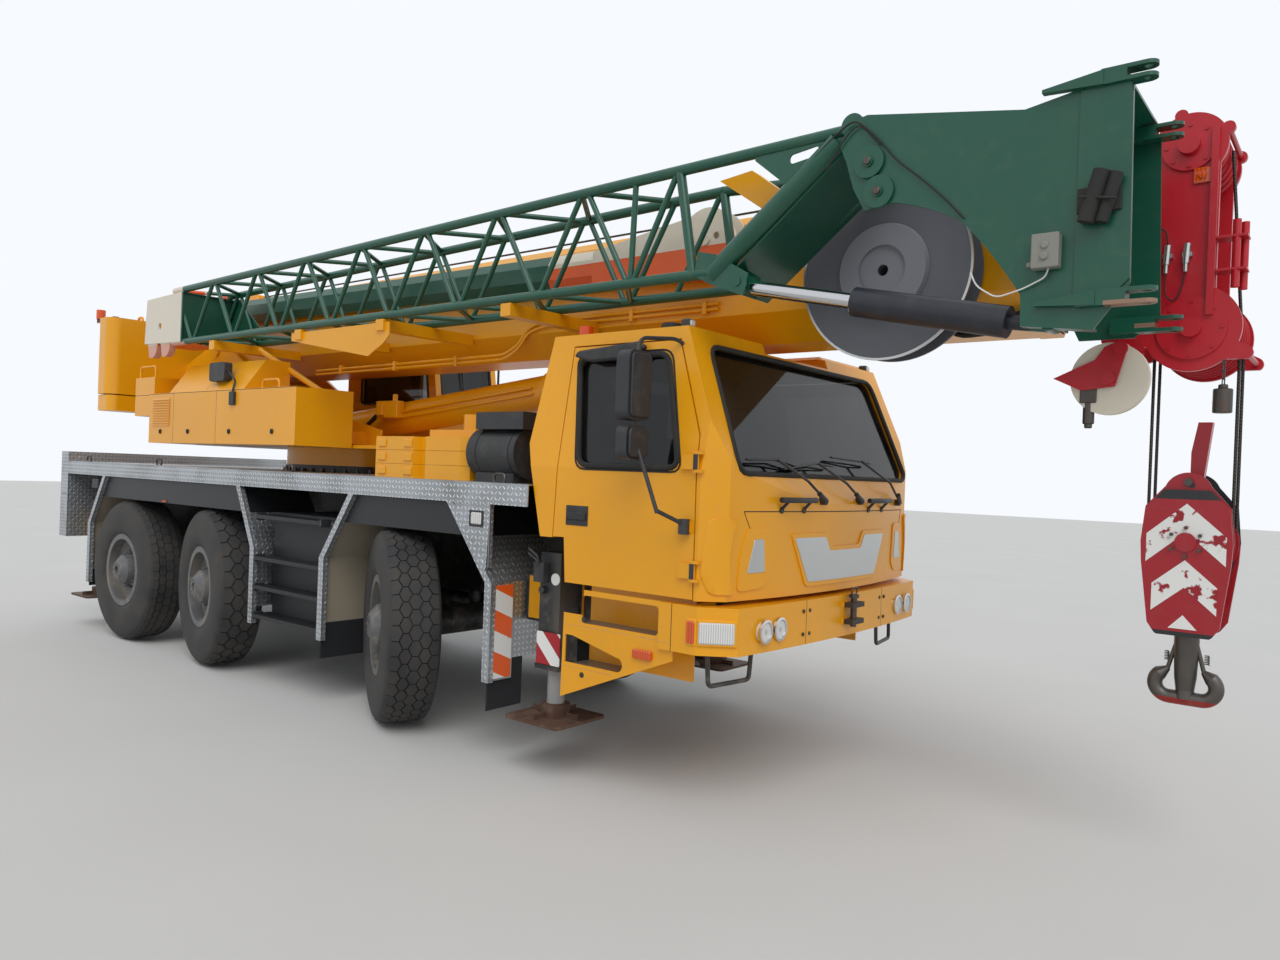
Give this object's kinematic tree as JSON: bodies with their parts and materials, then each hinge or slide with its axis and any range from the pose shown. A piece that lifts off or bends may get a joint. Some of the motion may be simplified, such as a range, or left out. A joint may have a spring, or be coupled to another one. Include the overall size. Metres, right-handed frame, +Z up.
{
  "type": "mobile crane",
  "caption": "Three-axle all-terrain mobile crane with a low cab, telescopic boom, stowed lattice jib, hook block and slide-out outriggers.",
  "frame": {"origin": "on the ground under the middle of the overall length and width", "axes": "+X is the way it drives, +Y its left side, +Z up"},
  "size_m": [10.82, 3.06, 3.628],
  "materials": {
    "tyre": "matte, dusty",
    "wheel_grey": "satin, dusty",
    "axle_black": "satin, dusty",
    "frame_black": "satin",
    "deck_grey": "chequer plate, worn",
    "fender_black": "matte",
    "cab_yellow": "gloss",
    "cab_glass": "clear, light tint",
    "interior_grey": "matte",
    "bumper_yellow": "gloss",
    "lamp": "clear and orange lenses",
    "engine_grey": "as cast",
    "slab_yellow": "gloss, worn",
    "cleaner_black": "satin",
    "outrigger_yellow": "gloss, worn",
    "jack_steel": "ground rod, rusty foot plate",
    "table_yellow": "gloss",
    "hood_yellow": "gloss",
    "weight_yellow": "gloss, scratched",
    "boom_yellow": "gloss",
    "head_red": "gloss",
    "ram_paint": "gloss",
    "rod_chrome": "polished",
    "reel_grey": "satin, dusty",
    "jib_green": "gloss, worn",
    "rope_steel": "greased wire rope",
    "hook_red": "gloss, worn"
  },
  "bodies": {
    "carrier": {"chassis": "frame_black", "axles": "axle_black", "deck": "deck_grey", "fenders": "fender_black", "cab_shell": "cab_yellow", "cab_glass": "cab_glass", "cab_interior": "interior_grey", "bumper": "bumper_yellow", "lamps": "lamp", "driveline": "engine_grey", "deck_slabs": "slab_yellow", "air_cleaner": "cleaner_black"},
    "swivel_1_right": {"knuckle_1_right": "axle_black"},
    "wheel_1_right": {"tyre_1_right": "tyre", "rim_1_right": "wheel_grey"},
    "swivel_1_left": {"knuckle_1_left": "axle_black"},
    "wheel_1_left": {"tyre_1_left": "tyre", "rim_1_left": "wheel_grey"},
    "swivel_2_right": {"knuckle_2_right": "axle_black"},
    "wheel_2_right": {"tyre_2_right": "tyre", "rim_2_right": "wheel_grey"},
    "swivel_2_left": {"knuckle_2_left": "axle_black"},
    "wheel_2_left": {"tyre_2_left": "tyre", "rim_2_left": "wheel_grey"},
    "swivel_3_right": {"knuckle_3_right": "axle_black"},
    "wheel_3_right": {"tyre_3_right": "tyre", "rim_3_right": "wheel_grey"},
    "swivel_3_left": {"knuckle_3_left": "axle_black"},
    "wheel_3_left": {"tyre_3_left": "tyre", "rim_3_left": "wheel_grey"},
    "door_right": {"cab_door_right": "cab_yellow", "door_glass_right": "cab_glass"},
    "door_left": {"cab_door_left": "cab_yellow", "door_glass_left": "cab_glass"},
    "outrigger_front_right": {"outrigger_front_right": "outrigger_yellow"},
    "jack_front_right": {"jack_front_right": "jack_steel"},
    "outrigger_front_left": {"outrigger_front_left": "outrigger_yellow"},
    "jack_front_left": {"jack_front_left": "jack_steel"},
    "outrigger_rear_right": {"outrigger_rear_right": "outrigger_yellow"},
    "jack_rear_right": {"jack_rear_right": "jack_steel"},
    "outrigger_rear_left": {"outrigger_rear_left": "outrigger_yellow"},
    "jack_rear_left": {"jack_rear_left": "jack_steel"},
    "upper": {"turntable": "table_yellow", "hood": "hood_yellow", "operator_cab": "cab_yellow", "operator_glass": "cab_glass", "counterweight": "weight_yellow"},
    "operator_door": {"operator_door": "cab_yellow"},
    "boom": {"boom_1": "boom_yellow", "reel": "reel_grey", "jib": "jib_green", "jib_fly": "jib_green"},
    "section_2": {"boom_2": "boom_yellow"},
    "section_3": {"boom_3": "boom_yellow"},
    "section_4": {"boom_4": "boom_yellow"},
    "section_5": {"boom_head": "head_red"},
    "ram_barrel": {"ram_barrel": "ram_paint"},
    "ram_rod": {"ram_rod": "rod_chrome"},
    "fall_line": {"falls": "rope_steel"},
    "hook": {"hook_block": "hook_red"}
  },
  "joints": [
    {"name": "steer_1_right", "type": "hinge", "parent": "carrier", "child": "swivel_1_right", "pos_m": [0.47, -0.96, 0.685], "axis": [0, 0, 1], "range_deg": [-5, 55]},
    {"name": "wheel_1_right_spin", "type": "hinge", "parent": "swivel_1_right", "child": "wheel_1_right", "pos_m": [0.41366, -1.06595, 0.685], "axis": [0.4695, 0.8829, 0], "continuous": true},
    {"name": "steer_1_left", "type": "hinge", "parent": "carrier", "child": "swivel_1_left", "pos_m": [0.47, 0.96, 0.685], "axis": [0, 0, 1], "range_deg": [-5, 55]},
    {"name": "wheel_1_left_spin", "type": "hinge", "parent": "swivel_1_left", "child": "wheel_1_left", "pos_m": [0.51689, 1.07046, 0.685], "axis": [0.3907, 0.9205, 0], "continuous": true},
    {"name": "steer_2_right", "type": "hinge", "parent": "carrier", "child": "swivel_2_right", "pos_m": [-2.185, -0.96, 0.685], "axis": [0, 0, 1], "range_deg": [-2, 21]},
    {"name": "wheel_2_right_spin", "type": "hinge", "parent": "swivel_2_right", "child": "wheel_2_right", "pos_m": [-2.20687, -1.07799, 0.685], "axis": [0.1822, 0.9833, 0], "continuous": true},
    {"name": "steer_2_left", "type": "hinge", "parent": "carrier", "child": "swivel_2_left", "pos_m": [-2.185, 0.96, 0.685], "axis": [0, 0, 1], "range_deg": [-2, 21]},
    {"name": "wheel_2_left_spin", "type": "hinge", "parent": "swivel_2_left", "child": "wheel_2_left", "pos_m": [-2.16623, 1.07852, 0.685], "axis": [0.1564, 0.9877, 0], "continuous": true},
    {"name": "steer_3_right", "type": "hinge", "parent": "carrier", "child": "swivel_3_right", "pos_m": [-3.835, -0.96, 0.685], "axis": [0, 0, 1], "range_deg": [-12, 12]},
    {"name": "wheel_3_right_spin", "type": "hinge", "parent": "swivel_3_right", "child": "wheel_3_right", "pos_m": [-3.835, -1.08, 0.685], "axis": [0, 1, 0], "continuous": true},
    {"name": "steer_3_left", "type": "hinge", "parent": "carrier", "child": "swivel_3_left", "pos_m": [-3.835, 0.96, 0.685], "axis": [0, 0, 1], "range_deg": [-12, 12]},
    {"name": "wheel_3_left_spin", "type": "hinge", "parent": "swivel_3_left", "child": "wheel_3_left", "pos_m": [-3.835, 1.08, 0.685], "axis": [0, 1, 0], "continuous": true},
    {"name": "door_right_hinge", "type": "hinge", "parent": "carrier", "child": "door_right", "pos_m": [3.1, -1.256, 1.6], "axis": [0, 0, 1], "range_deg": [0, 70]},
    {"name": "door_left_hinge", "type": "hinge", "parent": "carrier", "child": "door_left", "pos_m": [3.1, 1.256, 1.6], "axis": [0, 0, -1], "range_deg": [0, 70]},
    {"name": "operator_door_slide", "type": "slide", "parent": "upper", "child": "operator_door", "axis": [-1, 0, 0], "range_m": [0, 0.62]},
    {"name": "outrigger_front_right_slide", "type": "slide", "parent": "carrier", "child": "outrigger_front_right", "axis": [0, -1, 0], "range_m": [0, 1.8]},
    {"name": "jack_front_right_slide", "type": "slide", "parent": "outrigger_front_right", "child": "jack_front_right", "axis": [0, 0, -1], "range_m": [0, 0.5]},
    {"name": "outrigger_front_left_slide", "type": "slide", "parent": "carrier", "child": "outrigger_front_left", "axis": [0, 1, 0], "range_m": [0, 1.8]},
    {"name": "jack_front_left_slide", "type": "slide", "parent": "outrigger_front_left", "child": "jack_front_left", "axis": [0, 0, -1], "range_m": [0, 0.5]},
    {"name": "outrigger_rear_right_slide", "type": "slide", "parent": "carrier", "child": "outrigger_rear_right", "axis": [0, -1, 0], "range_m": [0, 1.8]},
    {"name": "jack_rear_right_slide", "type": "slide", "parent": "outrigger_rear_right", "child": "jack_rear_right", "axis": [0, 0, -1], "range_m": [0, 0.5]},
    {"name": "outrigger_rear_left_slide", "type": "slide", "parent": "carrier", "child": "outrigger_rear_left", "axis": [0, 1, 0], "range_m": [0, 1.8]},
    {"name": "jack_rear_left_slide", "type": "slide", "parent": "outrigger_rear_left", "child": "jack_rear_left", "axis": [0, 0, -1], "range_m": [0, 0.5]},
    {"name": "slew", "type": "hinge", "parent": "carrier", "child": "upper", "pos_m": [-1.71, 0, 1.8], "axis": [0, 0, 1], "continuous": true},
    {"name": "luff", "type": "hinge", "parent": "upper", "child": "boom", "pos_m": [-3.71, 0, 2.95], "axis": [0, -1, 0], "range_deg": [0, 82]},
    {"name": "ram_swing", "type": "hinge", "parent": "upper", "child": "ram_barrel", "pos_m": [-2, 0, 2.16], "axis": [0, -1, 0], "range_deg": [0, 91]},
    {"name": "ram_stroke", "type": "slide", "parent": "ram_barrel", "child": "ram_rod", "axis": [0.995, 0, 0.0998], "range_m": [0, 2.42]},
    {"name": "tele_2", "type": "slide", "parent": "boom", "child": "section_2", "axis": [1, 0, 0], "range_m": [0, 7]},
    {"name": "tele_3", "type": "slide", "parent": "section_2", "child": "section_3", "axis": [1, 0, 0], "range_m": [0, 7]},
    {"name": "tele_4", "type": "slide", "parent": "section_3", "child": "section_4", "axis": [1, 0, 0], "range_m": [0, 7]},
    {"name": "tele_5", "type": "slide", "parent": "section_4", "child": "section_5", "axis": [1, 0, 0], "range_m": [0, 7]},
    {"name": "fall_swing", "type": "hinge", "parent": "section_5", "child": "fall_line", "pos_m": [5.165, 0, 2.6], "axis": [0, -1, 0], "range_deg": [-82, 0]},
    {"name": "hoist", "type": "slide", "parent": "fall_line", "child": "hook", "axis": [0, 0, 1], "range_m": [-0.75, 0.12], "deforming": ["falls"]}
  ],
  "couplings": [
    {"joint": "steer_1_left", "follows": "steer_1_right", "ratio": 1},
    {"joint": "steer_2_right", "follows": "steer_1_right", "ratio": 0.373},
    {"joint": "steer_2_left", "follows": "steer_1_right", "ratio": 0.373},
    {"joint": "steer_3_left", "follows": "steer_3_right", "ratio": 1},
    {"joint": "ram_swing", "follows": "luff", "ratio": 1.098},
    {"joint": "ram_stroke", "follows": "luff", "m_per_rad": 1.6764},
    {"joint": "tele_3", "follows": "tele_2", "ratio": 1},
    {"joint": "tele_4", "follows": "tele_2", "ratio": 1},
    {"joint": "tele_5", "follows": "tele_2", "ratio": 1},
    {"joint": "fall_swing", "follows": "luff", "ratio": -1}
  ]
}
